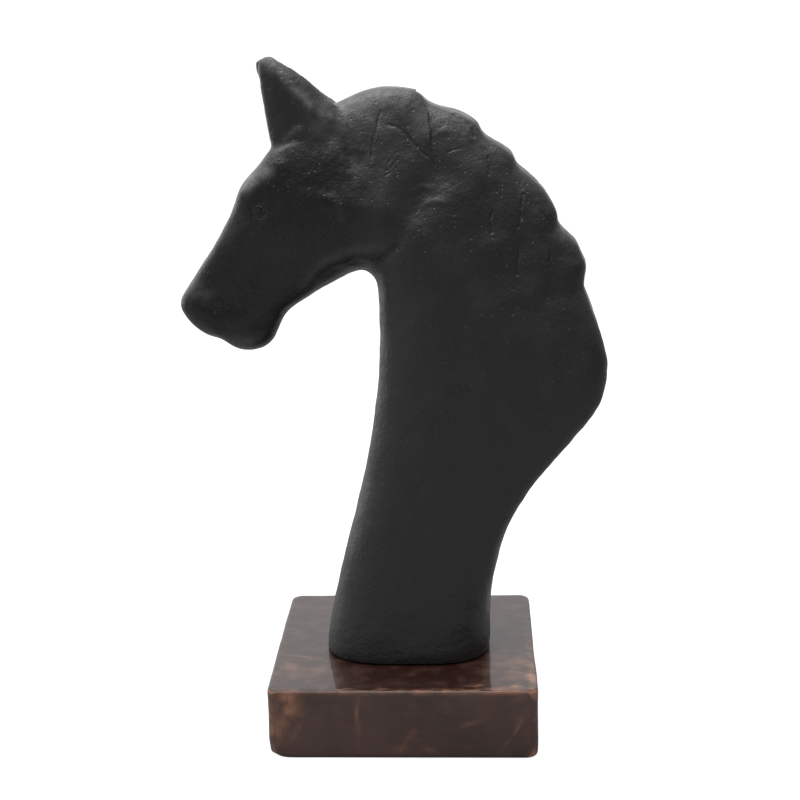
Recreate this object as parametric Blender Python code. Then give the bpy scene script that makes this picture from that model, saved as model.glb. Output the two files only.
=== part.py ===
"""A papier-mache horse head on its stained wooden plinth, in metres, +Z up.

The horse looks towards -X. The origin is the centre of the plinth's underside.
The figure is drawn in millimetres, seen from its left side: x runs backwards
from the middle of its foot and h is the height above the plinth's top.
"""

import math

import bmesh
import bpy
import numpy as np
from mathutils import Matrix, Vector
from mathutils.bvhtree import BVHTree

# Sizes, in metres
PLINTH_WIDTH = 0.125
PLINTH_HEIGHT = 0.0338
PLINTH_CORNER_RADIUS = 0.0045
PLINTH_TOP_RADIUS = 0.0018
PLINTH_UNDER_RADIUS = 0.0024
SEAT_GAP = 0.0003
HORSE_HEIGHT = 0.2837
FOOT_THICKNESS = 0.0668

# The figure is drawn this tall and this thick at its foot, in millimetres
DRAWN_HEIGHT = 283.7
DRAWN_THICKNESS = 66.8

# How finely the skin is cut
POINTS_ROUND = 44
NECK_RING_SPACING = 8.4
HEAD_RING_SPACING = 3.7
CURVE_SEGMENTS = 4

# Cuts across the figure, from the foot up the neck, round the throat and out
# to the muzzle. Each one runs from the throat side to the crest side:
# (x, h) in front, (x, h) behind, half thickness, place of the widest point as a
# share of the way back, how square the front and the back of the cut are, and
# how much the sides slant in towards the front and towards the back.
NECK_CUTS = (
    ((-38.3, 0.0), (40.9, 0.0), 33.4, 0.50, 3.0, 3.3, 0.00, 0.00),
    ((-33.9, 23.7), (41.0, 23.4), 31.4, 0.50, 3.1, 4.2, 0.00, 0.00),
    ((-28.1, 47.3), (44.2, 46.1), 30.0, 0.50, 3.3, 5.4, 0.00, 0.00),
    ((-22.7, 67.9), (50.8, 66.7), 29.2, 0.50, 3.4, 6.4, 0.00, 0.00),
    ((-18.1, 87.1), (63.1, 86.7), 28.7, 0.50, 3.4, 7.0, 0.00, 0.04),
    ((-14.5, 106.9), (79.7, 106.3), 28.4, 0.48, 3.4, 7.0, 0.00, 0.08),
    ((-11.6, 126.6), (93.6, 125.3), 28.2, 0.46, 3.4, 7.0, 0.00, 0.12),
    ((-9.9, 141.8), (95.6, 143.0), 28.0, 0.45, 3.3, 6.6, 0.00, 0.16),
    ((-9.3, 154.6), (91.5, 159.4), 27.8, 0.44, 3.2, 6.4, 0.00, 0.20),
    ((-9.7, 167.0), (84.9, 176.8), 27.5, 0.43, 3.0, 6.0, 0.00, 0.25),
)
THROAT_CUTS = (
    ((-10.2, 176.4), (73.2, 205.2), 27.0, 0.40, 3.0, 6.0, 0.00, 0.32),
    ((-11.7, 181.8), (54.2, 232.8), 26.5, 0.38, 2.9, 6.0, 0.02, 0.38),
    ((-14.6, 184.5), (38.6, 247.1), 26.0, 0.37, 2.8, 6.0, 0.05, 0.42),
    ((-18.3, 185.3), (13.6, 261.3), 25.5, 0.38, 2.8, 5.8, 0.10, 0.44),
    ((-22.3, 184.3), (-4.4, 264.8), 25.0, 0.40, 2.8, 5.4, 0.12, 0.42),
)
HEAD_CUTS = (
    ((-26.5, 182.3), (-28.1, 261.6), 24.6, 0.46, 2.9, 5.2, 0.14, 0.34),
    ((-31.9, 179.4), (-43.0, 253.6), 24.2, 0.54, 3.0, 6.0, 0.16, 0.22),
    ((-37.9, 176.1), (-56.1, 243.4), 23.6, 0.60, 3.0, 6.2, 0.18, 0.10),
    ((-43.3, 172.7), (-64.3, 233.3), 22.8, 0.62, 3.1, 6.4, 0.20, 0.05),
    ((-47.8, 169.8), (-71.0, 225.6), 22.0, 0.64, 3.1, 6.4, 0.20, 0.05),
    ((-51.9, 166.9), (-74.6, 217.6), 20.8, 0.64, 3.0, 6.0, 0.18, 0.05),
    ((-55.3, 162.8), (-79.2, 208.0), 19.4, 0.62, 2.9, 6.5, 0.16, 0.05),
    ((-58.1, 157.6), (-84.9, 198.4), 18.0, 0.60, 2.8, 6.0, 0.14, 0.05),
    ((-61.6, 151.5), (-91.6, 188.7), 17.2, 0.58, 2.7, 5.5, 0.12, 0.05),
    ((-67.8, 148.0), (-97.2, 180.5), 16.8, 0.56, 2.6, 5.0, 0.10, 0.05),
    ((-75.6, 148.2), (-100.9, 175.2), 16.2, 0.56, 2.5, 4.2, 0.08, 0.00),
    ((-82.9, 152.4), (-102.6, 172.1), 14.6, 0.56, 2.4, 3.6, 0.05, 0.00),
    ((-89.8, 154.5), (-103.0, 169.9), 12.4, 0.56, 2.3, 2.8, 0.00, 0.00),
    ((-95.4, 158.3), (-102.7, 167.9), 8.8, 0.54, 2.2, 2.3, 0.00, 0.00),
)
NOSE_END = (-100.3, 163.9)

# Locks of the mane along the crest: first and last place, how far they swell,
# and how far back their fullest place lies (1 is the middle)
MANE_LOCKS = (
    ("poll", (-28.1, 261.6), (14.2, 261.1), 3.9, 1.9),
    ("first", (14.2, 261.1), (39.0, 247.7), 2.7, 2.2),
    ("second", (39.0, 247.7), (54.7, 233.4), 2.1, 2.2),
    ("third", (54.7, 233.4), (73.7, 205.7), 2.8, 1.5),
    ("fourth", (73.7, 205.7), (85.2, 176.8), 4.7, 1.3),
)
LOCK_FULLNESS = 2.9
LOCK_DEPTH = 5.0

# Partings between the locks, drawn down the side of the neck
MANE_PARTINGS = (
    ((14.0, 263.0), (15.4, 248.4), (16.3, 239.1), (20.1, 225.6)),
    ((-7.0, 255.3), (5.6, 246.9), (13.8, 237.1), (20.1, 225.6)),
    ((39.9, 248.7), (40.9, 238.1), (41.7, 217.9), (42.4, 203.3)),
    ((55.6, 234.5), (56.3, 220.9), (55.1, 206.0), (53.9, 184.3)),
    ((74.5, 206.4), (69.5, 195.4), (68.1, 177.7)),
)
PARTING_DEPTH = 1.4
PARTING_WIDTH = 4.6

# The crease behind the jaw, and the cheek that stands out in front of it
JAW_CREASE = ((-7.6, 193.9), (-1.6, 199.7), (1.5, 208.6), (-4.2, 223.6), (-19.8, 235.8))
JAW_CREASE_DEPTH = 2.2
JAW_CREASE_WIDTH = 5.0
CHEEK_CENTRE = (-27.1, 211.2)
CHEEK_REACH = (25.0, 27.0)
CHEEK_RISE = 1.6
NOSE_HOLLOW = ((-61.8, 194.5), (-79.8, 175.0))
NOSE_HOLLOW_DEPTH = 1.5
NOSE_HOLLOW_WIDTH = 9.0
MOUTH = ((-62.4, 158.8), (-74.2, 156.1), (-84.1, 153.7))
MOUTH_DEPTH = 1.4
MOUTH_WIDTH = 2.6
NOSTRIL_CENTRE = (-82.8, 174.5)
NOSTRIL_REACH = (6.5, 5.0)
NOSTRIL_DEPTH = 1.3
EYE_CENTRE = (-62.5, 215.2)
EYE_RADIUS = 3.1
EYE_SOCKET_DEPTH = 1.0
EYEBALL_RISE = 1.1
EYE_SEGMENTS = 16
EYE_RINGS = 10
BROW = ((-67.7, 224.4), (-55.3, 234.1))
BROW_RISE = 1.2
BROW_WIDTH = 5.5

# An ear from its root up: (x, h) in front, (x, h) behind, half thickness, place
# of the widest point, how square its front and back are, their slants, and place
# across. Its outer face is nearly flat as far as the widest point, and then
# slants in.
EAR_CUTS = (
    ((-54.6, 236.0), (-21.5, 246.4), 8.0, 0.66, 2.3, 1.5, 0.0, 0.0, 12.0),
    ((-57.5, 246.9), (-25.5, 259.5), 7.4, 0.70, 2.3, 1.3, 0.0, 0.0, 12.8),
    ((-58.5, 256.4), (-33.0, 266.5), 6.6, 0.72, 2.3, 1.2, 0.0, 0.0, 13.4),
    ((-59.7, 264.8), (-40.2, 273.4), 5.8, 0.72, 2.3, 1.2, 0.0, 0.0, 13.9),
    ((-60.7, 272.8), (-47.4, 278.6), 4.9, 0.70, 2.2, 1.3, 0.0, 0.0, 14.2),
    ((-61.3, 278.6), (-52.3, 281.5), 3.9, 0.64, 2.1, 1.5, 0.0, 0.0, 14.3),
    ((-60.7, 281.9), (-54.8, 283.2), 2.7, 0.56, 2.1, 2.0, 0.0, 0.0, 14.3),
)
EAR_TIP = (-57.4, 283.7)
EAR_POINTS = 20
EAR_SPACING = 3.4
EAR_HOLLOW = 0.9
EAR_HOLLOW_PLACE = 0.42
EAR_HOLLOW_WIDTH = 0.30
FAR_EAR_LEAN = 5.2
FAR_EAR_DROP = 2.6


def smooth_rows(rows, spacing):
    """Rows on a smooth curve through the given ones, about spacing apart."""
    rows = np.array(rows, float)
    steps = np.linalg.norm(np.diff(rows[:, :4], axis=0), axis=1) / math.sqrt(2.0)
    places = np.concatenate(([0.0], np.cumsum(steps)))
    slopes = np.gradient(rows, places, axis=0)
    made = []
    for i, step in enumerate(steps):
        count = max(1, round(step / spacing[i]))
        for k in range(count):
            t = k / count
            made.append(
                rows[i] * (2.0 * t**3 - 3.0 * t**2 + 1.0)
                + slopes[i] * step * (t**3 - 2.0 * t**2 + t)
                + rows[i + 1] * (3.0 * t**2 - 2.0 * t**3)
                + slopes[i + 1] * step * (t**3 - t**2)
            )
    made.append(rows[-1])
    return np.array(made)


def off_path(x, h, path):
    """How far each place lies from a path through points."""
    nearest = np.full(np.shape(x), np.inf)
    for (x0, h0), (x1, h1) in zip(path, path[1:]):
        run, rise = x1 - x0, h1 - h0
        share = ((x - x0) * run + (h - h0) * rise) / (run * run + rise * rise)
        share = np.clip(share, 0.0, 1.0)
        apart = np.hypot(x - x0 - share * run, h - h0 - share * rise)
        nearest = np.minimum(nearest, apart)
    return nearest


def swell(distance, width):
    """One at the middle of a form, fading to nothing past its width."""
    return np.exp(-((distance / width) ** 2))


def lock_swell(x, h):
    """How far the mane's locks stand out from the crest at a place on it."""
    total = 0.0
    for _, (x0, h0), (x1, h1), rise, place in MANE_LOCKS:
        run, climb = x1 - x0, h1 - h0
        share = ((x - x0) * run + (h - h0) * climb) / (run * run + climb * climb)
        if 0.0 < share < 1.0:
            off_top = 2.0 * share**place - 1.0
            total = max(total, rise * (1.0 - abs(off_top) ** LOCK_FULLNESS))
    return total


def carving(x, h):
    """How far the carving stands out of the side of the figure, in millimetres."""
    cheek_x = (x - CHEEK_CENTRE[0]) / CHEEK_REACH[0]
    cheek_h = (h - CHEEK_CENTRE[1]) / CHEEK_REACH[1]
    out = CHEEK_RISE / (1.0 + (cheek_x**2 + cheek_h**2) ** 4)
    nostril_x = (x - NOSTRIL_CENTRE[0]) / NOSTRIL_REACH[0]
    nostril_h = (h - NOSTRIL_CENTRE[1]) / NOSTRIL_REACH[1]
    out -= NOSTRIL_DEPTH * swell(np.hypot(nostril_x, nostril_h), 1.0)
    out += BROW_RISE * swell(off_path(x, h, BROW), BROW_WIDTH)
    out -= JAW_CREASE_DEPTH * swell(off_path(x, h, JAW_CREASE), JAW_CREASE_WIDTH)
    out -= NOSE_HOLLOW_DEPTH * swell(off_path(x, h, NOSE_HOLLOW), NOSE_HOLLOW_WIDTH)
    out -= MOUTH_DEPTH * swell(off_path(x, h, MOUTH), MOUTH_WIDTH)
    for parting in MANE_PARTINGS:
        out -= PARTING_DEPTH * swell(off_path(x, h, parting), PARTING_WIDTH)
    return out


def section(cut, count):
    """The places round one cut, as (x, h, half thickness there, side, share of it)."""
    front_x, front_h, back_x, back_h, half, widest, front_square, back_square = cut[:8]
    front_slant, back_slant = cut[8:10]
    angle = np.arange(count) * 2.0 * math.pi / count
    near_front = np.cos(angle) >= 0.0
    power = 2.0 / np.where(near_front, front_square, back_square)
    reach = np.abs(np.cos(angle)) ** power
    share = np.where(near_front, widest * (1.0 - reach), widest + (1.0 - widest) * reach)
    side = np.abs(np.sin(angle)) ** power
    off_widest = np.where(near_front, 1.0 - share / widest, (share - widest) / (1.0 - widest))
    side = side * (1.0 - np.where(near_front, front_slant, back_slant) * off_widest)
    x = front_x + (back_x - front_x) * share
    h = front_h + (back_h - front_h) * share
    return x, h, half * side, np.sign(np.sin(angle)), side, share


def figure_ring(cut, lock):
    """One ring of the neck or head, from the front past the near side and back."""
    x, h, out, hand, side, share = section(cut, POINTS_ROUND)
    out = out + carving(x, h) * np.clip(1.6 * side - 0.3, 0.0, 1.0)
    full = share**LOCK_DEPTH
    return np.stack([x + lock[0] * full, -hand * np.maximum(out, 0.0), h + lock[1] * full], axis=1)


def ear_ring(cut, ear_side):
    """One ring of an ear, hollowed on its outer face."""
    x, h, out, hand, side, share = section(cut, EAR_POINTS)
    room = side * swell(share - EAR_HOLLOW_PLACE, EAR_HOLLOW_WIDTH) * cut[4] / EAR_CUTS[0][2]
    out = hand * out - EAR_HOLLOW * np.where(hand > 0.0, room, 0.0)
    x, h = leaned(x, h, ear_side)
    return np.stack([x, ear_side * (cut[10] + out), h], axis=1)


def leaned(x, h, ear_side):
    """A place on an ear, moved as far as that ear leans: the far one leans forward."""
    root = EAR_CUTS[0][0][1]
    share = max(ear_side, 0.0) * ((h - root) / (EAR_TIP[1] - root)) ** 2
    return x - FAR_EAR_LEAN * share, h - FAR_EAR_DROP * share


def to_metres(points):
    """Drawn millimetres as metres in the world, standing on the plinth."""
    tall = HORSE_HEIGHT / DRAWN_HEIGHT
    thick = FOOT_THICKNESS / DRAWN_THICKNESS
    foot = PLINTH_HEIGHT + SEAT_GAP
    return [(x * tall, y * thick, h * tall + foot) for x, y, h in points]


def skin(name, rings, tip):
    """One closed mesh over a row of rings, flat at the first, pointed at the last."""
    mesh = bpy.data.meshes.new(name)
    form = bmesh.new()
    loops = []
    for ring in rings:
        loops.append([form.verts.new(point) for point in to_metres(ring)])
    count = len(loops[0])
    form.faces.new(loops[0])
    for lower, upper in zip(loops, loops[1:]):
        for i in range(count):
            j = (i + 1) % count
            form.faces.new((lower[i], lower[j], upper[j], upper[i]))
    end = form.verts.new(to_metres([tip])[0])
    for i in range(count):
        form.faces.new((loops[-1][i], loops[-1][(i + 1) % count], end))
    bmesh.ops.recalc_face_normals(form, faces=form.faces)
    bmesh.ops.triangulate(form, faces=form.faces)
    form.to_mesh(mesh)
    form.free()
    mesh.shade_smooth()
    piece = bpy.data.objects.new(name, mesh)
    bpy.context.scene.collection.objects.link(piece)
    return piece


def finish_of(name, colour, roughness):
    """A plain material."""
    material = bpy.data.materials.new(name)
    material.use_nodes = True
    shader = material.node_tree.nodes["Principled BSDF"]
    shader.inputs["Base Color"].default_value = (*colour, 1.0)
    shader.inputs["Roughness"].default_value = roughness
    shader.inputs["Metallic"].default_value = 0.0
    return material


def figure_rings():
    """The rings of the neck and head."""
    rows = []
    spacing = []
    for group, gap in (
        (NECK_CUTS, NECK_RING_SPACING),
        (THROAT_CUTS, HEAD_RING_SPACING),
        (HEAD_CUTS, HEAD_RING_SPACING),
    ):
        for front, back, *shape in group:
            rows.append((*front, *back, *shape))
            spacing.append(gap)
    cuts = smooth_rows(rows, spacing)
    along = np.gradient(cuts[:, 2:4], axis=0)
    along /= np.linalg.norm(along, axis=1)[:, None]
    rings = []
    for cut, (along_x, along_h) in zip(cuts, along):
        rise = lock_swell(cut[2], cut[3])
        rings.append(figure_ring(cut, (along_h * rise, -along_x * rise)))
    return rings


def ear_rings(side):
    """The rings of one ear: side is -1 on the near side and +1 on the far one."""
    rows = [(*front, *back, *shape) for front, back, *shape in EAR_CUTS]
    spacing = [EAR_SPACING] * len(rows)
    return [ear_ring(cut, side) for cut in smooth_rows(rows, spacing)]


def ball(name, centre, radii):
    """A rounded form, its poles along Y."""
    mesh = bpy.data.meshes.new(name)
    form = bmesh.new()
    bmesh.ops.create_uvsphere(form, u_segments=EYE_SEGMENTS, v_segments=EYE_RINGS, radius=1.0)
    bmesh.ops.rotate(form, matrix=Matrix.Rotation(math.radians(90.0), 3, "X"), verts=form.verts)
    bmesh.ops.scale(form, vec=radii, verts=form.verts)
    bmesh.ops.translate(form, vec=centre, verts=form.verts)
    form.to_mesh(mesh)
    form.free()
    piece = bpy.data.objects.new(name, mesh)
    bpy.context.scene.collection.objects.link(piece)
    return piece


def work_in(horse, tool, operation):
    """Joins a form to the head or cuts it out."""
    tool.hide_render = True
    tool.display_type = "WIRE"
    change = horse.modifiers.new(tool.name, "BOOLEAN")
    change.operation = operation
    change.solver = "EXACT"
    change.object = tool


def carve_eye(horse, side, name):
    """A round socket pressed into the side of the head, with the eyeball in it."""
    scale = HORSE_HEIGHT / DRAWN_HEIGHT
    radius = EYE_RADIUS * scale
    depth = EYE_SOCKET_DEPTH * scale
    x, _, z = to_metres([(EYE_CENTRE[0], 0.0, EYE_CENTRE[1])])[0]
    surface = BVHTree.FromObject(horse, bpy.context.evaluated_depsgraph_get())
    start = Vector((x, side * FOOT_THICKNESS, z))
    y = surface.ray_cast(start, Vector((0.0, -side, 0.0)))[0].y
    socket = ball(name + "_socket", (x, y + side * depth, z), (radius, 2.0 * depth, radius))
    work_in(horse, socket, "DIFFERENCE")
    rise = EYEBALL_RISE * scale
    size = 0.72 * radius
    eyeball = ball(name + "_eyeball", (x, y - side * depth, z), (size, rise, size))
    work_in(horse, eyeball, "UNION")


def make_horse_head():
    """Neck, head and ears, pasted up as one piece of papier-mache."""
    horse = skin("horse_head", figure_rings(), (NOSE_END[0], 0.0, NOSE_END[1]))
    for side, name in ((-1.0, "near"), (1.0, "far")):
        tip_x, tip_h = leaned(*EAR_TIP, side)
        tip = (tip_x, side * EAR_CUTS[-1][-1], tip_h)
        work_in(horse, skin(name + "_ear", ear_rings(side), tip), "UNION")
    for side, name in ((-1.0, "near"), (1.0, "far")):
        carve_eye(horse, side, name)
    horse.data.materials.append(finish_of("black_papier_mache", (0.012, 0.012, 0.013), 0.5))
    return horse


def make_plinth():
    """A square block of wood, its corners and edges eased by sanding."""
    mesh = bpy.data.meshes.new("plinth")
    form = bmesh.new()
    bmesh.ops.create_cube(form, size=1.0)
    bmesh.ops.scale(form, vec=(PLINTH_WIDTH, PLINTH_WIDTH, PLINTH_HEIGHT), verts=form.verts)
    bmesh.ops.translate(form, vec=(0.0, 0.0, 0.5 * PLINTH_HEIGHT), verts=form.verts)
    for chosen, radius in (
        (lambda a, b: abs(a.z - b.z) > 0.5 * PLINTH_HEIGHT, PLINTH_CORNER_RADIUS),
        (lambda a, b: min(a.z, b.z) > 0.999 * PLINTH_HEIGHT, PLINTH_TOP_RADIUS),
        (lambda a, b: max(a.z, b.z) < 0.001 * PLINTH_HEIGHT, PLINTH_UNDER_RADIUS),
    ):
        edges = [edge for edge in form.edges if chosen(edge.verts[0].co, edge.verts[1].co)]
        bmesh.ops.bevel(
            form, geom=edges, offset=radius, segments=CURVE_SEGMENTS, profile=0.5, affect="EDGES"
        )
    form.to_mesh(mesh)
    form.free()
    mesh.shade_smooth()
    mesh.set_sharp_from_angle(angle=math.radians(40.0))
    plinth = bpy.data.objects.new("plinth", mesh)
    bpy.context.scene.collection.objects.link(plinth)
    plinth.data.materials.append(finish_of("stained_wood", (0.055, 0.024, 0.014), 0.35))
    return plinth


def main():
    for thing in list(bpy.data.objects):
        bpy.data.objects.remove(thing)
    make_plinth()
    make_horse_head()


main()
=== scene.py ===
# %% [markdown]
# # A black papier-mache horse head on a stained plinth
#
# The object is a small sculpture, about 32 cm tall. The horse is paper pulp and
# paste pressed over a core, sanded and painted black. It stands on a square
# block of wood that is stained dark and lacquered. This lesson dresses its plain
# solids: it loads them, sets up a small photo studio, then gives each piece its
# surface.

# %% Load the solids
import math

import bmesh
import bpy
import numpy as np
from mathutils import Matrix, Vector, noise


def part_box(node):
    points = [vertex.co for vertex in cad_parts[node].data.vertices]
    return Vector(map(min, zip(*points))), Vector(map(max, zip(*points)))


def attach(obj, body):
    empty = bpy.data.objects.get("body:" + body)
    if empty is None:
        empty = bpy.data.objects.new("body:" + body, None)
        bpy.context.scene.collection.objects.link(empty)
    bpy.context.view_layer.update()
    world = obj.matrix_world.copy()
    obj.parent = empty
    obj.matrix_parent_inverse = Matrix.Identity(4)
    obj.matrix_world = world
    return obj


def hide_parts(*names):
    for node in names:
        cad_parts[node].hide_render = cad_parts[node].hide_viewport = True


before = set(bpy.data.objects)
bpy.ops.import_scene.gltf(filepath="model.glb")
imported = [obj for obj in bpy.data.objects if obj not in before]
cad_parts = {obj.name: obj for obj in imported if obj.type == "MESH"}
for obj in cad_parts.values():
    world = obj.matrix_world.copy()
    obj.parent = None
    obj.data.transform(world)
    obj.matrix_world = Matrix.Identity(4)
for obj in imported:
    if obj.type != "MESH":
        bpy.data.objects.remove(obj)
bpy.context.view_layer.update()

MM = 0.001
for name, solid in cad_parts.items():
    print(name, "has", len(solid.data.vertices), "points")

# %% [markdown]
# ## The camera
#
# A photograph of a sculpture is taken from a little distance, so that near parts
# don't swell. The camera stands 77 cm away, a hand's width above the ears, and
# looks down at the middle of the figure. The lens is a mild telephoto. It was
# held a degree out of level, as a camera in the hand is.

# %% Place the camera
CAMERA_PLACE = (0.0309, -0.7708, 0.3486)
CAMERA_DOWN = 14.04
CAMERA_TURN = 2.38
CAMERA_ROLL = -0.98
LENS = 75.15
SENSOR = 36.0

scene = bpy.context.scene
camera = bpy.data.objects.new("camera", bpy.data.cameras.new("camera"))
camera.data.lens = LENS
camera.data.sensor_width = SENSOR
camera.data.clip_start = 0.01
camera.location = CAMERA_PLACE
aim = Matrix.Rotation(math.radians(CAMERA_TURN), 3, "Z")
aim = aim @ Matrix.Rotation(math.radians(90.0 - CAMERA_DOWN), 3, "X")
aim = aim @ Matrix.Rotation(math.radians(CAMERA_ROLL), 3, "Z")
camera.rotation_euler = aim.to_euler()
scene.collection.objects.link(camera)
scene.camera = camera
scene.view_settings.view_transform = "Standard"
print("camera at", [round(n, 3) for n in camera.location])

# %% [markdown]
# ## Nodes in few words
#
# A shader is a small graph. One helper adds a node, sets it and links it: a
# number goes on the socket itself, and a socket given as a value is wired in.

# %% Helpers for shader graphs
def node(tree, kind, values=None, **settings):
    made = tree.nodes.new("ShaderNode" + kind)
    for name, value in settings.items():
        setattr(made, name, value)
    for name, value in (values or {}).items():
        if isinstance(value, bpy.types.NodeSocket):
            tree.links.new(value, made.inputs[name])
        else:
            made.inputs[name].default_value = value
    return made


def spread(tree, value, low, high, to_low=0.0, to_high=1.0):
    """Stretches the numbers from low to high over a new range, softly."""
    given = {0: value, 1: low, 2: high, 3: to_low, 4: to_high}
    return node(tree, "MapRange", given, interpolation_type="SMOOTHSTEP").outputs[0]


def maths(tree, work, a, b=0.0):
    return node(tree, "Math", {0: a, 1: b}, operation=work).outputs[0]


def tint(tree, share, a, b):
    """A colour between a and b."""
    return node(tree, "Mix", {0: share, 6: a, 7: b}, data_type="RGBA").outputs[2]


def empty_material(name):
    material = bpy.data.materials.new(name)
    material.use_nodes = True
    material.node_tree.nodes.clear()
    return material, material.node_tree


print("graph helpers ready")

# %% [markdown]
# ## The studio
#
# Black paint shows its form only by what it mirrors, so the light is most of the
# picture. A white paper floor and a white wall behind rim the outline, a soft box
# hangs overhead for the crest, and the room behind the camera is dim, which keeps
# the side that faces us black.

# %% Lay the floor
FLOOR_RADIUS = 1.1

floor_form = bmesh.new()
bmesh.ops.create_circle(floor_form, cap_ends=True, segments=96, radius=FLOOR_RADIUS)
floor_mesh = bpy.data.meshes.new("floor")
floor_form.to_mesh(floor_mesh)
floor_form.free()
floor = bpy.data.objects.new("floor", floor_mesh)
scene.collection.objects.link(floor)

FLOOR_GREY = (0.30, 0.30, 0.30, 1.0)
FLOOR_GLOW = 0.9
WHITE = (1.0, 1.0, 1.0, 1.0)

paper, tree = empty_material("white_paper")
seen = node(tree, "LightPath").outputs["Is Camera Ray"]
glow = maths(tree, "MULTIPLY", seen, FLOOR_GLOW)
paper_white = node(tree, "BsdfDiffuse", {"Color": FLOOR_GREY}).outputs[0]
paper_glow = node(tree, "Emission", {"Color": WHITE, "Strength": glow}).outputs[0]
both = node(tree, "AddShader", {0: paper_white, 1: paper_glow}).outputs[0]
node(tree, "OutputMaterial", {"Surface": both})
floor_mesh.materials.append(paper)
print("floor is", 2 * FLOOR_RADIUS, "m across")

# %% Light the room
FRONT_LIGHT = 0.165
BACK_LIGHT = 0.95
LEFT_LIGHT = 0.36
RIGHT_SHARE = 0.12
TOP_LIGHT = 0.66
SOFT_BOX_PLACE = (-0.15, -0.10, 1.05)
SOFT_BOX_SIDE = 0.8
SOFT_BOX_POWER = 8.0

world = bpy.data.worlds.new("studio")
scene.world = world
world.use_nodes = True
tree = world.node_tree
tree.nodes.clear()
way = node(tree, "SeparateXYZ", {0: node(tree, "TexCoord").outputs["Generated"]})
wall = spread(tree, way.outputs["Y"], -0.2, 0.6, 0.0, BACK_LIGHT)
to_right = spread(tree, way.outputs["X"], 0.15, 0.7, 1.0, RIGHT_SHARE)
ceiling = spread(tree, way.outputs["Z"], 0.1, 0.9, 0.0, TOP_LIGHT)
window = spread(tree, way.outputs["X"], -0.15, -0.9, 0.0, LEFT_LIGHT)
walls = maths(tree, "ADD", maths(tree, "MULTIPLY", wall, to_right), window)
room = maths(tree, "ADD", maths(tree, "ADD", walls, ceiling), FRONT_LIGHT)
seen = node(tree, "LightPath").outputs["Is Camera Ray"]
strength = maths(tree, "MAXIMUM", room, seen)
light = node(tree, "Background", {"Color": WHITE, "Strength": strength})
node(tree, "OutputWorld", {"Surface": light.outputs[0]})

soft_box = bpy.data.lights.new("soft_box", "AREA")
soft_box.energy = SOFT_BOX_POWER
soft_box.size = SOFT_BOX_SIDE
lamp = bpy.data.objects.new("soft_box", soft_box)
lamp.location = SOFT_BOX_PLACE
lamp.rotation_euler = (Vector((0.0, 0.0, 0.2)) - lamp.location).to_track_quat("-Z", "Y").to_euler()
scene.collection.objects.link(lamp)
print("soft box of", SOFT_BOX_POWER, "W")

# %% [markdown]
# ## Effects that both finishes share
#
# Paint and lacquer age in the same ways: tone drifts in blotches, specks of dust
# dry in, a brush or a rag leaves fine lines, and handling rubs the edges. Each
# effect is a node group with named sockets, so each material can set its own
# size and strength. A group gives only a mask. The material decides what the
# mask does.

# %% Helper for node groups
def start_group(name, wanted):
    """A group that takes Place and the wanted numbers and gives one Mask."""
    group = bpy.data.node_groups.new(name, "ShaderNodeTree")
    group.interface.new_socket("Place", in_out="INPUT", socket_type="NodeSocketVector")
    for label, value in wanted.items():
        kind = "NodeSocketVector" if isinstance(value, tuple) else "NodeSocketFloat"
        group.interface.new_socket(label, in_out="INPUT", socket_type=kind).default_value = value
    group.interface.new_socket("Mask", in_out="OUTPUT", socket_type="NodeSocketFloat")
    return group, node_in(group), group.nodes.new("NodeGroupOutput")


def node_in(group):
    return group.nodes.new("NodeGroupInput").outputs


def use_group(tree, group, place, **values):
    """Puts a group in a material: its numbers by name, underscores for spaces."""
    made = tree.nodes.new("ShaderNodeGroup")
    made.node_tree = group
    tree.links.new(place, made.inputs["Place"])
    for label, value in values.items():
        socket = made.inputs[label.replace("_", " ")]
        if isinstance(value, bpy.types.NodeSocket):
            tree.links.new(value, socket)
        else:
            socket.default_value = value
    return made.outputs["Mask"]


print("group helpers ready")

# %% Blotches of tone
blotches, given, given_out = start_group("blotches", {"Scale": 60.0, "Detail": 3.0, "From": 0.4, "To": 0.65})
cloud = {"Vector": given["Place"], "Scale": given["Scale"], "Detail": given["Detail"]}
cloud = node(blotches, "TexNoise", cloud)
mask = spread(blotches, cloud.outputs["Fac"], given["From"], given["To"])
blotches.links.new(mask, given_out.inputs["Mask"])
print("blotches has", len(blotches.nodes), "nodes")

# %% Specks and pinholes
specks, given, given_out = start_group("specks", {"Scale": 300.0, "Size": 0.2, "Share": 0.3})
cells = node(specks, "TexVoronoi", {"Vector": given["Place"], "Scale": given["Scale"]})
dot = spread(specks, cells.outputs["Distance"], given["Size"], 0.0)
pick = node(specks, "SeparateColor", {0: cells.outputs["Color"]}).outputs[0]
kept = maths(specks, "LESS_THAN", pick, given["Share"])
specks.links.new(maths(specks, "MULTIPLY", dot, kept), given_out.inputs["Mask"])
print("specks has", len(specks.nodes), "nodes")

# %% Fine lines
fine_lines, given, given_out = start_group(
    "fine_lines", {"Stretch": (1.0, 1.0, 1.0), "Scale": 200.0, "Width": 0.03, "Share": 0.5}
)
pulled = node(fine_lines, "Mapping", {"Vector": given["Place"], "Scale": given["Stretch"]})
streaks = node(fine_lines, "TexNoise", {"Vector": pulled.outputs[0], "Scale": given["Scale"], "Detail": 2.0})
off_middle = maths(fine_lines, "ABSOLUTE", maths(fine_lines, "SUBTRACT", streaks.outputs["Fac"], 0.5))
line = spread(fine_lines, off_middle, given["Width"], 0.0)
gaps = node(fine_lines, "TexNoise", {"Vector": given["Place"], "Scale": 90.0, "Detail": 1.0})
kept = spread(fine_lines, gaps.outputs["Fac"], given["Share"], maths(fine_lines, "ADD", given["Share"], 0.1))
fine_lines.links.new(maths(fine_lines, "MULTIPLY", line, kept), given_out.inputs["Mask"])
print("fine_lines has", len(fine_lines.nodes), "nodes")

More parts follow.
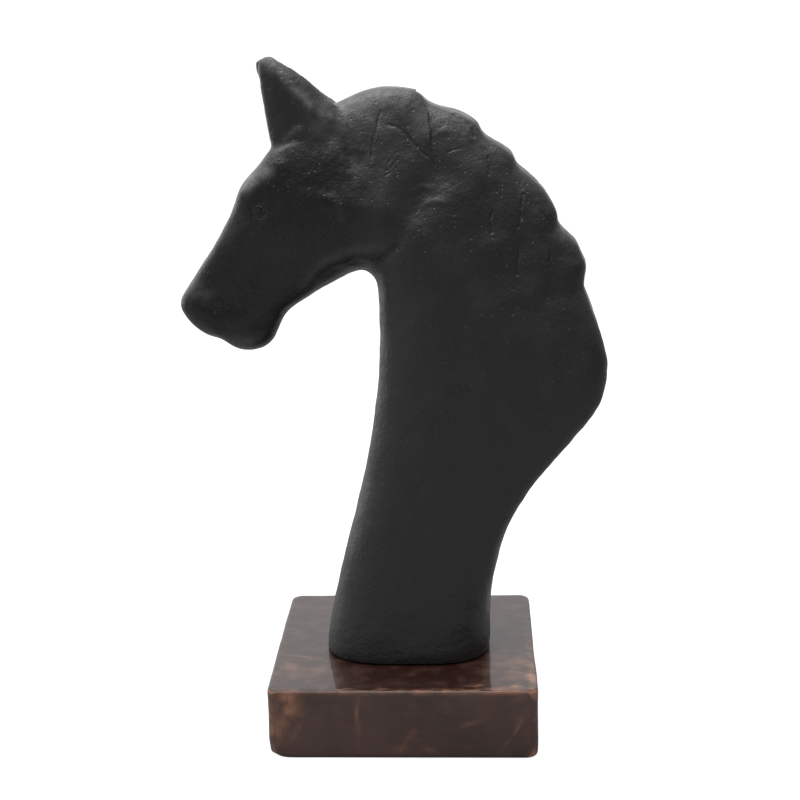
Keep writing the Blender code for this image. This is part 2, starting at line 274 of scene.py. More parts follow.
# %% Rubbed edges
edge_wear, given, given_out = start_group("edge_wear", {"Edge": 0.0, "Scale": 200.0, "Bare": 0.6})
chips = node(edge_wear, "TexNoise", {"Vector": given["Place"], "Scale": given["Scale"], "Detail": 4.0})
height = maths(edge_wear, "ADD", given["Edge"], maths(edge_wear, "SUBTRACT", chips.outputs["Fac"], 0.5))
mask = spread(edge_wear, height, given["Bare"], maths(edge_wear, "ADD", given["Bare"], 0.2))
edge_wear.links.new(mask, given_out.inputs["Mask"])
print("edge_wear has", len(edge_wear.nodes), "nodes")

# %% [markdown]
# ## The skin of the horse
#
# The solid has flat facets a few millimetres wide. Paper pulp dries to a skin
# with no facets at all. A voxel remesh lays an even net of small quads over the
# solid, and relaxing that net melts the facets away. Relaxing also shrinks a
# form, so what it took off is relaxed too and given back.

# %% Lay an even net over the solid
NET = 1.3 * MM


def as_piece(name, mesh):
    piece = bpy.data.objects.new(name, mesh)
    scene.collection.objects.link(piece)
    return piece


def remeshed(source, size, name):
    """A copy of a solid in even quads."""
    copy = as_piece(name, source.data.copy())
    net = copy.modifiers.new("net", "REMESH")
    net.mode = "VOXEL"
    net.voxel_size = size
    net.adaptivity = 0.0
    made = bpy.data.meshes.new_from_object(copy.evaluated_get(bpy.context.evaluated_depsgraph_get()))
    copy.modifiers.clear()
    copy.data = made
    made.materials.clear()
    return copy


def points_of(mesh):
    flat = np.empty(len(mesh.vertices) * 3)
    mesh.vertices.foreach_get("co", flat)
    return flat.reshape(-1, 3)


def put_points(mesh, points):
    mesh.vertices.foreach_set("co", points.ravel())
    mesh.update()


horse = remeshed(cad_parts["horse_head"], NET, "horse_skin")
skin = horse.data
print("the net has", len(skin.vertices), "points")

# %% Relax the net
RELAX_STEPS = 9
EAR_HOLD = 0.75


def fade(value, start, end):
    """Zero at start and one at end, with a soft ramp between."""
    t = np.clip((value - start) / (end - start), 0.0, 1.0)
    return t * t * (3.0 - 2.0 * t)


def edges_of(mesh):
    flat = np.empty(len(mesh.edges) * 2, int)
    mesh.edges.foreach_get("vertices", flat)
    return flat.reshape(-1, 2)


def relaxed(values, edges, strength, steps):
    """Moves each value towards the mean of its neighbours, again and again."""
    a, b = edges.T
    size = len(values)
    count = np.bincount(a, minlength=size) + np.bincount(b, minlength=size)
    count = np.maximum(count, 1)
    for _ in range(steps):
        change = np.empty_like(values)
        for k in range(values.shape[1]):
            total = np.bincount(a, values[b, k], size) + np.bincount(b, values[a, k], size)
            change[:, k] = total / count - values[:, k]
        values = values + change * strength[:, None]
    return values


def melted(mesh, steps):
    """The points of a mesh without its small facets, ears held back."""
    points = points_of(mesh)
    edges = edges_of(mesh)
    x, h = points[:, 0] / MM, height_of(points)
    on_ear = fade(h, 244.0, 254.0) * fade(x, -24.0, -30.0)
    strength = 0.5 * (1.0 - EAR_HOLD * on_ear) * fade(h, 0.6, 3.0)
    soft = relaxed(points, edges, strength, steps)
    return soft + relaxed(points - soft, edges, strength, steps)


def height_of(points):
    """Millimetres above the foot of the neck."""
    return (points[:, 2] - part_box("horse_head")[0][2]) / MM


put_points(skin, melted(skin, RELAX_STEPS))
print("the skin is", [round(n / MM, 1) for n in np.ptp(points_of(skin), axis=0)], "mm")

# %% [markdown]
# ## The tool marks
#
# While the pulp was damp the maker drew a point through it for the parting of
# the locks and pressed small dents into it. The marks could be painted on, but
# they catch the light, so they are cut. Each mark is a short path on the side
# of the figure: millimetres behind the middle of the plinth, and above the foot.
# The far side of the head has the same marks, drawn a little off, as a hand
# would repeat them.

# %% List the grooves
GROOVE = {"wide": 0.55, "deep": 0.42}
SCRATCH = {"wide": 0.42, "deep": 0.20}
UNSTEADY = 0.6
GROOVES = (
    ((-7.0, 258.5), (-8.0, 254.5), (-9.0, 251.5), (-10.5, 246.5), (-11.5, 237.0)),
    ((-3.5, 253.0), (1.0, 251.0), (5.5, 247.5), (11.0, 240.5), (16.0, 236.5), (18.0, 231.5), (19.5, 226.0)),
    ((41.0, 238.0), (41.5, 234.0), (41.0, 230.0)),
    ((56.5, 221.0), (55.5, 212.0), (54.5, 206.5)),
    ((54.5, 196.5), (54.0, 190.0), (54.0, 185.5)),
    ((42.5, 213.5), (42.0, 209.5), (42.5, 204.0)),
    ((65.0, 212.5), (68.0, 208.5), (68.5, 205.5)),
    ((69.0, 195.0), (68.5, 188.0)),
    ((68.5, 181.0), (67.5, 174.5)),
    ((25.5, 256.0), (32.5, 251.5), (35.0, 246.5)),
)
SCRATCHES = (
    ((-5.0, 230.5), (-0.5, 234.0)),
    ((-4.0, 236.0), (0.5, 240.5)),
    ((-4.5, 233.0), (0.5, 237.0)),
    ((23.0, 240.5), (29.0, 242.0)),
    ((-52.5, 274.0), (-49.5, 274.5)),
    ((-58.5, 270.0), (-56.0, 270.0)),
    ((-70.5, 213.5), (-70.0, 211.0), (-67.5, 211.0)),
)
print(len(GROOVES), "grooves and", len(SCRATCHES), "scratches")

# %% List the ridges and the edges of locks
RIDGE = {"wide": 0.9, "high": 0.42}
RIDGES = (
    ((17.5, 247.5), (20.5, 249.5), (23.5, 249.5)),
    ((7.5, 223.5), (11.0, 225.0), (15.0, 224.5)),
    ((12.0, 216.5), (14.0, 218.5), (21.0, 218.5)),
    ((-49.0, 248.0), (-42.5, 252.5)),
    ((-53.0, 241.0), (-45.5, 244.5)),
    ((-28.0, 223.0), (-25.5, 217.5), (-25.0, 212.0)),
    ((-33.5, 222.5), (-29.0, 221.0)),
    ((-20.0, 242.5), (-14.5, 241.5)),
)
TUFT_END = ((8.5, 266.5), (11.5, 263.5), (14.0, 257.5), (15.0, 251.0), (15.5, 246.0))
TUFT_STEP = 0.9
JAW_EDGE = ((-46.0, 177.5), (-38.0, 184.5), (-31.0, 189.5), (-19.5, 193.5), (-8.5, 193.0), (-1.0, 199.5))
JAW_STEP = 0.6
CREASE = ((-9.0, 191.5), (-4.5, 195.5), (-0.5, 199.5))
CREASE_DEPTH = 1.2
BEHIND_EAR = ((-19.0, 236.0), (-25.0, 246.0), (-36.0, 256.0))
BEHIND_EAR_DEPTH = 0.9
print(len(RIDGES), "ridges")

# %% Measure from a path
def from_path(x, h, path):
    """How far each place is from a path, and on which side of it (+1 is left)."""
    nearest = np.full(len(x), np.inf)
    hand = np.zeros(len(x))
    for (x0, h0), (x1, h1) in zip(path, path[1:]):
        run, rise = x1 - x0, h1 - h0
        share = np.clip(((x - x0) * run + (h - h0) * rise) / (run * run + rise * rise), 0.0, 1.0)
        apart = np.hypot(x - x0 - share * run, h - h0 - share * rise)
        closer = apart < nearest
        nearest = np.where(closer, apart, nearest)
        turn = np.sign(run * (h - h0) - rise * (x - x0))
        hand = np.where(closer, turn, hand)
    return nearest, hand


def unsteady(points, size, seed):
    """Soft noise at each point, about -1 to 1."""
    away = Vector((seed * 7.3, seed * 1.9, seed * 4.1))
    return np.array([noise.noise(Vector(place) + away) for place in points / (size * MM)])


def on_the_side(points):
    """Places on the side, with the hand's waver; the far side's marks are a little off."""
    x, y, h = points[:, 0] / MM, points[:, 1] / MM, height_of(points)
    far = y > 0.0
    x = x + UNSTEADY * unsteady(points, 4.0, 5) + far * 2.0 * np.sin(h / 17.0)
    h = h + UNSTEADY * unsteady(points, 4.0, 6) + far * 1.6 * np.sin(x / 11.0)
    return x, h


print("from the origin to a path:", from_path(np.zeros(1), np.zeros(1), ((3.0, -1.0), (3.0, 5.0))))

# %% Refine the net near the marks
MARK_REACH = (2.2, 1.2)
EYE = (-62.5, 215.2)
EYE_REACH = 6.0


def near_marks(points, reach):
    x, h = on_the_side(points)
    near = np.hypot(x - EYE[0], h - EYE[1]) < EYE_REACH
    for path in (*GROOVES, *SCRATCHES, TUFT_END):
        near |= from_path(x, h, path)[0] < reach
    return near & (np.abs(points[:, 1]) > 0.004)


for reach in MARK_REACH:
    form = bmesh.new()
    form.from_mesh(skin)
    centres = np.array([face.calc_center_median() for face in form.faces])
    chosen = near_marks(centres, reach)
    around = {edge for face, near in zip(form.faces, chosen) if near for edge in face.edges}
    bmesh.ops.subdivide_edges(form, edges=list(around), cuts=1, use_grid_fill=True)
    form.to_mesh(skin)
    form.free()
put_points(skin, melted(skin, 3))
print("the net now has", sum(len(face.vertices) - 2 for face in skin.polygons), "triangles")

# %% [markdown]
# ## Carve
#
# Every mark pushes the skin in or out along its normal. The depth across a
# groove is a bell curve, with a small lip where the pulp was pushed aside. Under
# the marks the whole skin rises and falls a little, as pulp pressed on by
# fingers does.

# %% Carve the marks
def bell(distance, width):
    return np.exp(-((distance / width) ** 2))


def normals_of(mesh):
    flat = np.empty(len(mesh.vertices) * 3)
    mesh.vertex_normals.foreach_get("vector", flat)
    return flat.reshape(-1, 3)


LIP_SHARE = 0.08
LIP_PLACE = 2.2
LIP_WIDTH = 1.2
TUFT_REACH = 6.0
HOLLOW_BEHIND_TUFT = 2.5
JAW_SLOPE = 3.0
JAW_SWELL = 0.3
CREASE_WIDTH = 1.2
BEHIND_EAR_WIDTH = 3.6

points = points_of(skin)
normals = normals_of(skin)
x, h = on_the_side(points)
sideways = fade(np.abs(normals[:, 1]), 0.05, 0.35)
out = np.zeros(len(x))
# cut marks where the paint is darkened in the grooves, the crease, the eye ring and the nostril: painted
# shade.
cut = np.zeros(len(x))
pressure = np.clip(0.7 + 1.8 * unsteady(points, 3.5, 17), 0.4, 1.2)
for mark, paths in ((GROOVE, GROOVES), (SCRATCH, SCRATCHES)):
    for path in paths:
        apart, _ = from_path(x, h, path)
        bite = bell(apart, mark["wide"]) * pressure
        lip = bell(apart - LIP_PLACE * mark["wide"], LIP_WIDTH * mark["wide"]) * pressure
        out += mark["deep"] * (LIP_SHARE * lip - bite)
        cut = np.maximum(cut, 0.5 * bite)
for path in RIDGES:
    out += RIDGE["high"] * bell(from_path(x, h, path)[0], RIDGE["wide"])
apart, hand = from_path(x, h, TUFT_END)
tuft = np.where(hand < 0.0, bell(apart, TUFT_REACH), -0.5 * bell(apart, HOLLOW_BEHIND_TUFT))
out += TUFT_STEP * tuft * fade(apart, 0.0, 0.5)
apart, hand = from_path(x, h, JAW_EDGE)
below = np.where(hand < 0.0, apart, 0.0)
ends = fade(x, -46.0, -34.0) * fade(x, -6.0, -14.0)
out -= JAW_STEP * fade(below, 0.0, JAW_SLOPE) * ends * fade(below, 40.0, 20.0)
out += JAW_SWELL * np.where(hand > 0.0, bell(apart - 2.5, 2.5), 0.0) * ends
crease = bell(from_path(x, h, CREASE)[0], CREASE_WIDTH)
out -= CREASE_DEPTH * crease
cut = np.maximum(cut, crease)
out -= BEHIND_EAR_DEPTH * bell(from_path(x, h, BEHIND_EAR)[0], BEHIND_EAR_WIDTH)
print("marks cut up to", round(float(-out.min()), 2), "mm deep")

# %% Carve the eye and the nostril
EYE_RING = 3.1
RING_DEPTH = 0.42
EYEBALL_SWELL = 0.4
PUPIL_DEPTH = 0.3
NOSTRIL = (-82.5, 175.0)
NOSTRIL_SIZE = (4.2, 3.0)
NOSTRIL_DEPTH = 0.9
NOSTRIL_TURN = 45.0
MOUTH = ((-81.5, 161.0), (-78.0, 159.5), (-72.0, 159.5))
MOUTH_DEPTH = 0.45

round_eye = np.hypot(x - EYE[0], h - EYE[1])
out += EYEBALL_SWELL * bell(round_eye, 1.9) - PUPIL_DEPTH * bell(round_eye, 0.5)
out -= RING_DEPTH * bell(round_eye - EYE_RING, 0.5)
cut = np.maximum(cut, 0.5 * bell(round_eye - EYE_RING, 0.45))
lean = math.radians(NOSTRIL_TURN)
along = (x - NOSTRIL[0]) * math.cos(lean) + (h - NOSTRIL[1]) * math.sin(lean)
across = (h - NOSTRIL[1]) * math.cos(lean) - (x - NOSTRIL[0]) * math.sin(lean)
hollow = bell(np.hypot(along / NOSTRIL_SIZE[0], across / NOSTRIL_SIZE[1]), 1.0)
out -= NOSTRIL_DEPTH * hollow
cut = np.maximum(cut, 0.8 * hollow)
out -= MOUTH_DEPTH * bell(from_path(x, h, MOUTH)[0], 0.8)
out *= sideways
cut *= sideways
print("eye ring", 2 * EYE_RING, "mm across")

# %% Press the pulp unevenly
HAND_LUMPS = ((21.0, 0.55, 3), (8.0, 0.24, 11), (3.4, 0.11, 29))
# Relaxing the net took about this much off the skin.
SKIN_BACK = 0.35
lumps = sum(height * unsteady(points, size, seed) for size, height, seed in HAND_LUMPS)
settled = fade(height_of(points), 0.5, 6.0)
moved = points + normals * ((out + lumps + SKIN_BACK) * settled * MM)[:, None]
put_points(skin, moved)
print("the hand's lumps reach", round(float(np.abs(lumps).max()), 2), "mm")

# %% [markdown]
# ## What the paint has to know
#
# The paint isn't even. The mesh keeps a few numbers at each point: how proud the
# point stands, how deep it was cut, for painted shade in the cuts, where the paint
# gets a painted highlight, and whether it belongs to the head, which is painted
# blacker as painted shade. The material reads them by name. Painting an image
# would do the same but ties the look to one unwrapping of the surface.

# %% Note edges and cuts for the paint
def note(mesh, name, values):
    """Keeps a number for each point, which a material can read by name."""
    mesh.attributes.new(name, "FLOAT", "POINT").data.foreach_set("value", values.astype(np.float32))


PROUD_MOST = 1.5

EDGE_STEPS = 16

edges = edges_of(skin)
even = np.full(len(points), 0.5)
flat = relaxed(moved, edges, even, EDGE_STEPS)
proud = np.einsum("ij,ij->i", moved - flat, normals_of(skin)) / MM
note(skin, "edge", np.clip(proud / PROUD_MOST, -1.0, 1.0))
# The cut numbers darken the paint in the cuts as painted shade.
note(skin, "cut", cut)
print("edges stand proud by up to", round(float(proud.max()), 2), "mm")

# %% List the painted highlights on the paint
# Each painted highlight: its path, how far it reaches to each side, how strong it is.
PAINTED_HIGHLIGHTS = (
    (((-69.0, 226.0), (-62.5, 230.5), (-58.0, 233.5)), 2.8, 1.0),
    (((-57.0, 282.0), (-54.0, 279.0)), 3.0, 0.8),
    (((-52.0, 277.0), (-44.0, 268.0), (-36.0, 260.0), (-27.0, 256.0)), 1.8, 1.1),
    (((-8.5, 184.0), (-7.5, 174.0)), 1.6, 0.6),
    (((-49.0, 248.0), (-42.5, 252.5)), 1.8, 0.4),
    (((-53.0, 241.0), (-45.5, 244.5)), 1.8, 0.4),
    (((-79.0, 202.0), (-70.0, 213.0)), 3.5, 0.15),
    (((-97.0, 181.0), (-89.0, 176.0)), 3.5, 0.38),
    (((-80.0, 153.0), (-68.0, 151.0)), 3.5, 0.6),
    (((-30.0, 258.0), (-18.0, 261.0), (-6.0, 262.0)), 8.0, 0.6),
    (((3.0, 262.0), (9.0, 258.0), (12.0, 250.0)), 5.0, 0.5),
    (((-44.5, 180.0), (-32.0, 193.5), (-19.5, 197.5), (-8.0, 199.0)), 2.4, 0.25),
    (((-28.0, 223.0), (-25.5, 217.5), (-25.0, 212.0)), 1.6, 0.12),
    (((17.5, 250.5), (27.0, 247.0), (35.0, 240.0)), 7.0, 0.2),
)
# The poll gets a faint painted highlight on one side of this edge.
POLL_EDGE = ((-38.0, 257.0), (-23.5, 245.5), (-21.0, 235.0), (-11.0, 224.0))
POLL_REACH = 13.0
POLL_HIGHLIGHT = 0.12
HEAD_ENDS = (-8.0, -26.0)

painted_highlight = np.zeros(len(x))
for path, reach, strength in PAINTED_HIGHLIGHTS:
    painted_highlight = np.maximum(painted_highlight, strength * bell(from_path(x, h, path)[0], reach))
apart, hand = from_path(x, h, POLL_EDGE)
poll = np.where(hand > 0.0, bell(apart, POLL_REACH) * fade(apart, 0.0, 1.5), 0.0)
painted_highlight = np.maximum(painted_highlight, POLL_HIGHLIGHT * poll)
# The head is painted blacker and less dusty than the neck: painted shade.
on_head = fade(x, *HEAD_ENDS) * fade(h, 140.0, 150.0) * (1.0 - fade(h, 236.0, 256.0))
# The paler paint at these places is painted highlight, kept on the points as rubbed.
note(skin, "rubbed", painted_highlight)
note(skin, "painted_head_shade", on_head)
print(len(PAINTED_HIGHLIGHTS), "rubbed places")

# %% Dress the horse
skin.shade_smooth()
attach(horse, "root")
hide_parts("horse_head")
print("the horse has", len(skin.vertices), "points")

# %% [markdown]
# ## Black paint over paper
#
# The paint is a thin black emulsion with a low sheen. It shows the grain of the
# paper under it. Up-facing places are painted greyer, partly for dust and partly
# as painted light from above; paler patches are painted highlights, the cuts get
# painted shade, and the head is painted blacker as painted shade. A plain black
# would look like plastic, so the colour drifts between black and dusty grey,
# small pale flecks and dark pits break it up, and the bump has two grains: the
# fibres, and the soft lumps of the pulp.

# %% Mix the black paint
BLACK = (0.0150, 0.0150, 0.0155, 1.0)
HEAD_SHADE_BLACK = (0.0030, 0.0030, 0.0034, 1.0)
DUSTY = (0.026, 0.026, 0.028, 1.0)
PALE_SPECK = (0.13, 0.13, 0.125, 1.0)
WORN_AND_TOP_LIT_GREY = (0.060, 0.058, 0.056, 1.0)
PAINTED_HIGHLIGHT_GREY = (0.115, 0.115, 0.120, 1.0)
RED_BROWN = (0.030, 0.012, 0.009, 1.0)
PAINTED_CUT_SHADE = (0.003, 0.003, 0.003, 1.0)

black_paint, tree = empty_material("black_paint")
place = node(tree, "TexCoord").outputs["Object"]
# The rubbed numbers are painted highlights: paler paint where the brow, ear, nose, chin, poll and crest
# catch the light.
painted_highlight_mask = node(tree, "Attribute", attribute_name="rubbed").outputs["Fac"]
painted_head_shade = node(tree, "Attribute", attribute_name="painted_head_shade").outputs["Fac"]
tone = use_group(tree, blotches, place, Scale=70.0, Detail=5.0, From=0.4, To=0.7)
# On the head the dusty tone is held back, as painted shade.
tone = maths(tree, "MULTIPLY", tone, maths(tree, "SUBTRACT", 1.0, maths(tree, "MULTIPLY", painted_head_shade, 0.8)))
mottled = use_group(tree, blotches, place, Scale=260.0, Detail=4.0, From=0.15, To=0.60)
dots = use_group(tree, specks, place, Scale=520.0, Size=0.15, Share=0.14)
pits = use_group(tree, specks, place, Scale=430.0, Size=0.30, Share=0.30)
flakes = use_group(tree, blotches, place, Scale=600.0, Detail=3.0, From=0.55, To=0.66)
rusty = use_group(tree, blotches, place, Scale=55.0, Detail=4.0, From=0.66, To=0.80)
strokes = use_group(tree, fine_lines, place, Stretch=(1.0, 0.5, 0.16), Scale=420.0, Width=0.03, Share=0.45)
edge = node(tree, "Attribute", attribute_name="edge").outputs["Fac"]
cut_shade_mask = node(tree, "Attribute", attribute_name="cut").outputs["Fac"]
worn = use_group(tree, edge_wear, place, Edge=edge, Scale=340.0, Bare=0.42)
upward = node(tree, "SeparateXYZ", {0: node(tree, "NewGeometry").outputs["Normal"]}).outputs["Z"]
# Up-facing places are painted greyer: partly dust, partly painted light from above.
dust_and_top_light = use_group(tree, blotches, place, Scale=260.0, Detail=6.0, From=0.5, To=0.62)
dust_and_top_light = maths(tree, "MULTIPLY", dust_and_top_light, spread(tree, upward, 0.15, 0.7))
# The head is painted a deeper black than the neck, as painted shade.
colour = tint(tree, painted_head_shade, BLACK, HEAD_SHADE_BLACK)
colour = tint(tree, maths(tree, "MULTIPLY", tone, 0.14), colour, DUSTY)
# Painted highlights: the paint turns pale grey where the rubbed numbers are high.
colour = tint(tree, maths(tree, "MULTIPLY", mottled, painted_highlight_mask), colour, PAINTED_HIGHLIGHT_GREY)
colour = tint(tree, maths(tree, "MULTIPLY", flakes, 0.28), colour, DUSTY)
colour = tint(tree, maths(tree, "MULTIPLY", rusty, 0.35), colour, RED_BROWN)
# The grey on up-facing places is partly dust and partly painted light from above.
colour = tint(tree, maths(tree, "MULTIPLY", dust_and_top_light, 0.45), colour, WORN_AND_TOP_LIT_GREY)
colour = tint(tree, maths(tree, "MULTIPLY", dots, 0.5), colour, PALE_SPECK)
colour = tint(tree, maths(tree, "MULTIPLY", strokes, 0.12), colour, DUSTY)
colour = tint(tree, maths(tree, "MULTIPLY", worn, 0.25), colour, WORN_AND_TOP_LIT_GREY)
# Painted shade: the paint is darkened in the cuts.
colour = tint(tree, maths(tree, "MULTIPLY", cut_shade_mask, 0.6), colour, PAINTED_CUT_SHADE)
fibres = node(tree, "TexNoise", {"Vector": place, "Scale": 900.0, "Detail": 4.0}).outputs["Fac"]
lumps = node(tree, "TexNoise", {"Vector": place, "Scale": 160.0, "Detail": 3.0}).outputs["Fac"]
relief = maths(tree, "ADD", maths(tree, "MULTIPLY", fibres, 0.4), maths(tree, "MULTIPLY", lumps, 0.55))
crumbs = node(tree, "TexNoise", {"Vector": place, "Scale": 420.0, "Detail": 2.0}).outputs["Fac"]
relief = maths(tree, "ADD", relief, maths(tree, "MULTIPLY", crumbs, 0.5))
relief = maths(tree, "SUBTRACT", relief, maths(tree, "MULTIPLY", pits, 0.60))
bump = node(tree, "Bump", {"Strength": 0.60, "Distance": 0.0008, "Height": relief})
rough = spread(tree, tone, 0.0, 1.0, 0.36, 0.46)
rough = maths(tree, "ADD", rough, maths(tree, "MULTIPLY", dust_and_top_light, 0.2))
paint = node(tree, "BsdfPrincipled", {"Base Color": colour, "Roughness": rough, "Normal": bump.outputs[0]})
node(tree, "OutputMaterial", {"Surface": paint.outputs[0]})
skin.materials.append(black_paint)
print("black paint has", len(tree.nodes), "nodes")

# %% [markdown]
# ## The plinth
#
# The plinth is a short block sawn from a board, its edges eased with sandpaper
# by hand, so they run a little wavy and the lower left corner is rubbed round.
# A cube with a bevel would be too even. Here the block is a stack of square
# loops, which leaves a net fine enough to let the faces and edges wander.

# %% Helpers for the block
PLINTH_POINTS = 400
PLINTH_CORNER = 4.6
TOP_EDGE = 1.5
UNDER_EDGE = 2.3

low, high = (np.array(corner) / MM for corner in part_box("plinth"))
half = 0.5 * (high[0] - low[0])
tall = high[2]


def square_loop(half, corner, count):
    """Points round a square with rounded corners, evenly spaced."""
    flat = half - corner
    side = 2.0 * flat
    turn = 0.5 * math.pi * corner
    made = []
    for k in range(count):
        along = (k / count) * 4.0 * (side + turn)
        quarter, along = divmod(along, side + turn)
        if along < side:
            place = complex(half, -flat + along)
        else:
            angle = (along - side) / corner
            place = complex(flat, flat) + corner * complex(math.cos(angle), math.sin(angle))
        place *= 1j ** int(quarter)
        made.append((place.real, place.imag))
    return np.array(made)


def plinth_profile():
    """(share of the half width, height) from under the middle, out, up and in."""
    rows = [(share, 0.0) for share in np.linspace(0.04, 1.0, 24) * (1.0 - UNDER_EDGE / half)]
    for angle in np.linspace(0.0, 0.5 * math.pi, 8)[1:]:
        out = half - UNDER_EDGE + UNDER_EDGE * math.sin(angle)
        rows.append((out / half, UNDER_EDGE * (1.0 - math.cos(angle))))
    for height in np.linspace(UNDER_EDGE, tall - TOP_EDGE, 24)[1:]:
        rows.append((1.0, height))
    for angle in np.linspace(0.0, 0.5 * math.pi, 8)[1:]:
        out = half - TOP_EDGE + TOP_EDGE * math.cos(angle)
        rows.append((out / half, tall - TOP_EDGE + TOP_EDGE * math.sin(angle)))
    for share in np.linspace(1.0, 0.02, 42)[1:] * (1.0 - TOP_EDGE / half):
        rows.append((share, tall))
    return rows


def skinned(name, loops):
    """A closed mesh over loops of points, capped at both ends."""
    form = bmesh.new()
    made = [[form.verts.new(point) for point in loop] for loop in loops]
    for lower, upper in zip(made, made[1:]):
        for i in range(len(lower)):
            j = (i + 1) % len(lower)
            form.faces.new((lower[i], lower[j], upper[j], upper[i]))
    form.faces.new(made[0][::-1])
    form.faces.new(made[-1])
    mesh = bpy.data.meshes.new(name)
    form.to_mesh(mesh)
    form.free()
    return mesh


print("the block is", round(2 * half, 1), "mm square and", round(tall, 1), "mm high")

# %% Shape the plinth
outline = square_loop(half, PLINTH_CORNER, PLINTH_POINTS)
loops = []
for share, height in plinth_profile():
    loop = np.column_stack([outline * share, np.full(PLINTH_POINTS, height)])
    loops.append(loop * MM)
plinth = as_piece("plinth_block", skinned("plinth_block", loops))
block = plinth.data
print("plinth has", len(block.vertices), "points")

# %% Let the faces and edges wander
FACE_WAVE = ((30.0, 0.28, 41), (9.0, 0.10, 43))
EDGE_SANDING = 0.5
CORNER_WEAR = 2.6
WORN_CORNER = (-1.0, -1.0, 0.0)

points = points_of(block)
normals = normals_of(block)
edges = edges_of(block)
x, y, z = (points / MM).T
even = np.full(len(points), 0.5)
proud = np.einsum("ij,ij->i", points - relaxed(points, edges, even, 30), normals) / MM
edge = np.clip(proud / max(proud.max(), 0.01), 0.0, 1.0)
wave = sum(deep * unsteady(points, size, seed) for size, deep, seed in FACE_WAVE)
sanded = EDGE_SANDING * edge * (0.5 + unsteady(points, 11.0, 47))
corner = np.array([WORN_CORNER[0] * half, WORN_CORNER[1] * half, WORN_CORNER[2]])
from_corner = np.linalg.norm(points / MM - corner, axis=1)
worn = CORNER_WEAR * bell(from_corner, 5.0)
stays_flat = fade(z, 0.0, 2.0) * (1.0 - (z > tall - 0.01) * (edge < 0.05))
push = (wave - np.maximum(sanded, 0.0)) * stays_flat - worn
inward = np.where(push > 0.25, 0.25, push)
put_points(block, points + normals * (inward * MM)[:, None])
print("the worn corner lost", round(float(worn.max()), 1), "mm")

# %% [markdown]
# ## Stain that was rubbed through
#
# The stain is a red brown under a clear coat, and darker on the top. Where a rag
# or sleeve rubbed it thin the wood glows orange: at the left of the front, along
# the edges, and in a few bent streaks. The places are noted on the points of the
# block, and noise in the material tears them up.

# %% List the rubbed places on the front
# Each: (left or right, height), (reach along it, reach across), its turn, strength.
FRONT_RUBS = (
    ((-54.0, 26.0), (10.0, 6.0), 75.0, 1.30),
    ((-58.0, 15.0), (9.0, 3.0), 80.0, 0.55),
    ((-49.0, 15.0), (7.0, 1.6), 65.0, 0.40),
    ((-20.5, 20.0), (13.0, 0.8), 92.0, 0.45),
    ((-18.5, 6.0), (5.0, 0.8), 115.0, 0.45),
    ((-1.0, 5.0), (4.0, 1.8), 20.0, 0.50),
    ((3.0, 11.0), (4.0, 0.8), 58.0, 0.45),
    ((14.0, 4.0), (5.0, 1.2), 165.0, 0.40),
    ((51.0, 13.0), (9.0, 0.8), 60.0, 0.45),
    ((57.0, 24.0), (7.0, 1.6), 52.0, 0.40),
    ((32.0, 18.0), (5.0, 0.9), 25.0, 0.30),
    ((57.0, 31.0), (5.0, 1.6), 20.0, 0.45),
    ((60.0, 3.5), (3.0, 1.5), 30.0, 0.60),
)
# The same on the top, placed by (left or right, front or back).
TOP_RUBS = (
    ((52.0, -35.0), (18.0, 12.0), 90.0, 0.35),
    ((-50.0, -38.0), (18.0, 9.0), 160.0, 0.25),
    ((60.0, -45.0), (20.0, 2.6), 90.0, 0.95),
    ((52.0, -57.0), (10.0, 2.2), 12.0, 0.80),
    ((34.0, -55.5), (3.5, 0.8), 4.0, 1.00),
    ((60.5, -10.0), (26.0, 1.6), 90.0, 0.60),
    ((-20.0, -61.0), (44.0, 0.9), 0.0, 0.55),
    ((30.0, -61.0), (34.0, 1.1), 0.0, 0.75),
    ((-50.0, -40.0), (12.0, 1.0), 158.0, 0.30),
    ((-48.0, -22.0), (12.0, 1.1), 163.0, 0.30),
)


def rubbed(across, up, rubs):
    total = np.zeros(len(across))
    for (at, height), (long, short), turn, strength in rubs:
        way = math.radians(turn)
        along = (across - at) * math.cos(way) + (up - height) * math.sin(way)
        aside = (up - height) * math.cos(way) - (across - at) * math.sin(way)
        total = np.maximum(total, strength * bell(np.hypot(along / long, aside / short), 1.0))
    return total


STREAK_BEND = 2.2
LINE_DROP = 0.9
LINE_WIDTH = 0.7
LINE_RUB = 0.45

faces_out = normals_of(block)
places = points_of(block) / MM
bend = STREAK_BEND * unsteady(places * MM, 9.0, 61)
on_front = fade(-faces_out[:, 1], 0.5, 0.9)
on_top = fade(faces_out[:, 2], 0.5, 0.9)
thin = on_front * rubbed(places[:, 0] + bend, places[:, 2], FRONT_RUBS)
thin = np.maximum(thin, on_top * rubbed(places[:, 0], places[:, 1] + bend, TOP_RUBS))
top_line = bell(tall - places[:, 2] - LINE_DROP, LINE_WIDTH) * fade(-faces_out[:, 1], 0.3, 0.7)
thin = np.maximum(thin, LINE_RUB * top_line)
note(block, "thin", thin)
note(block, "edge", edge)
print("rubbed places:", len(FRONT_RUBS) + len(TOP_RUBS))

# %% Dress the plinth
block.shade_smooth()
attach(plinth, "root")
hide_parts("plinth")

# %% Mix the stained wood
STAIN = (0.088, 0.050, 0.044, 1.0)
DEEP_STAIN = (0.060, 0.036, 0.032, 1.0)
WARM_STAIN = (0.120, 0.058, 0.045, 1.0)
TOP_STAIN = (0.022, 0.0070, 0.0045, 1.0)
ORANGE_WOOD = (0.44, 0.200, 0.115, 1.0)

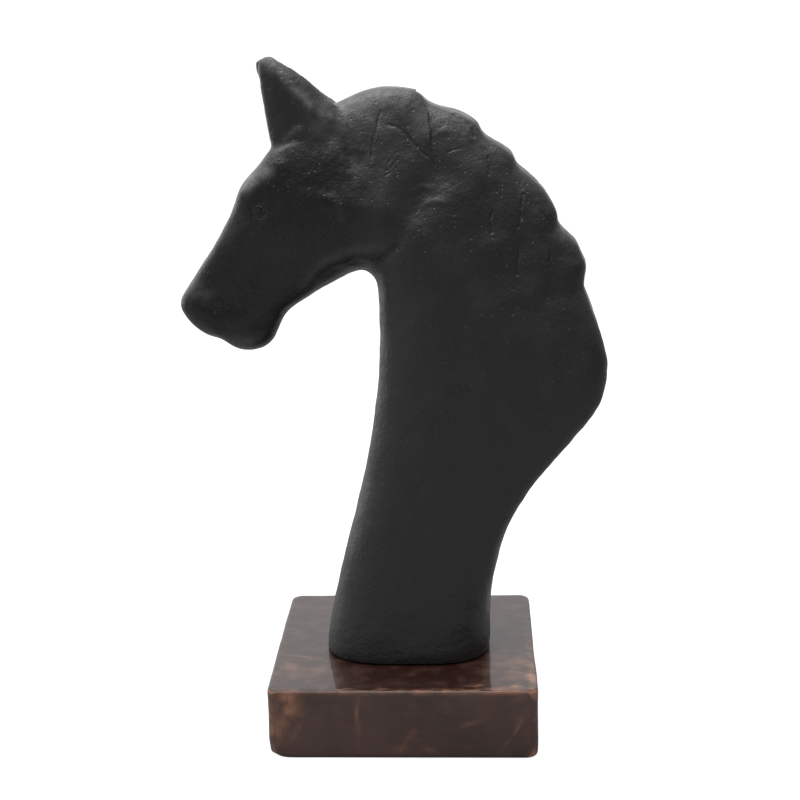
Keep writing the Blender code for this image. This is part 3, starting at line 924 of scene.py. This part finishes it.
stained_wood, tree = empty_material("stained_wood_fine")
place = node(tree, "TexCoord").outputs["Object"]
tone = use_group(tree, blotches, place, Scale=38.0, Detail=3.0, From=0.35, To=0.65)
warm = use_group(tree, blotches, place, Scale=75.0, Detail=5.0, From=0.48, To=0.72)
grain = use_group(tree, fine_lines, place, Stretch=(0.10, 1.0, 1.0), Scale=260.0, Width=0.06, Share=0.45)
flecks = use_group(tree, specks, place, Scale=330.0, Size=0.16, Share=0.06)
thin = node(tree, "Attribute", attribute_name="thin").outputs["Fac"]
edge = node(tree, "Attribute", attribute_name="edge").outputs["Fac"]
torn = use_group(tree, blotches, place, Scale=120.0, Detail=5.0, From=0.25, To=0.75)
sanded = use_group(tree, edge_wear, place, Edge=edge, Scale=90.0, Bare=0.62)
colour = tint(tree, tone, STAIN, DEEP_STAIN)
colour = tint(tree, maths(tree, "MULTIPLY", warm, 0.6), colour, WARM_STAIN)
colour = tint(tree, maths(tree, "MULTIPLY", grain, 0.18), colour, WARM_STAIN)
upward = node(tree, "SeparateXYZ", {0: node(tree, "NewGeometry").outputs["Normal"]}).outputs["Z"]
streaked = use_group(tree, blotches, place, Scale=120.0, Detail=6.0, From=0.42, To=0.70)
dark = maths(tree, "SUBTRACT", 1.0, maths(tree, "MULTIPLY", streaked, 0.4))
colour = tint(tree, maths(tree, "MULTIPLY", spread(tree, upward, 0.6, 0.95), dark), colour, TOP_STAIN)
bare = maths(tree, "MULTIPLY", maths(tree, "MULTIPLY", torn, thin), 0.9)
bare = maths(tree, "ADD", bare, maths(tree, "MULTIPLY", sanded, 0.5))
bare = maths(tree, "ADD", bare, maths(tree, "MULTIPLY", flecks, 0.3))
colour = tint(tree, bare, colour, ORANGE_WOOD)
ripple = node(tree, "TexNoise", {"Vector": place, "Scale": 60.0, "Detail": 2.0}).outputs["Fac"]
bump = node(tree, "Bump", {"Strength": 0.25, "Distance": 0.0004, "Height": ripple})
wood = node(tree, "BsdfPrincipled", {"Base Color": colour, "Roughness": 0.5, "Normal": bump.outputs[0]})
wood.inputs["Specular IOR Level"].default_value = 0.1
wood.inputs["Coat Weight"].default_value = 0.6
wood.inputs["Coat Roughness"].default_value = 0.08
node(tree, "OutputMaterial", {"Surface": wood.outputs[0]})
block.materials.append(stained_wood)
print("stained wood has", len(tree.nodes), "nodes")
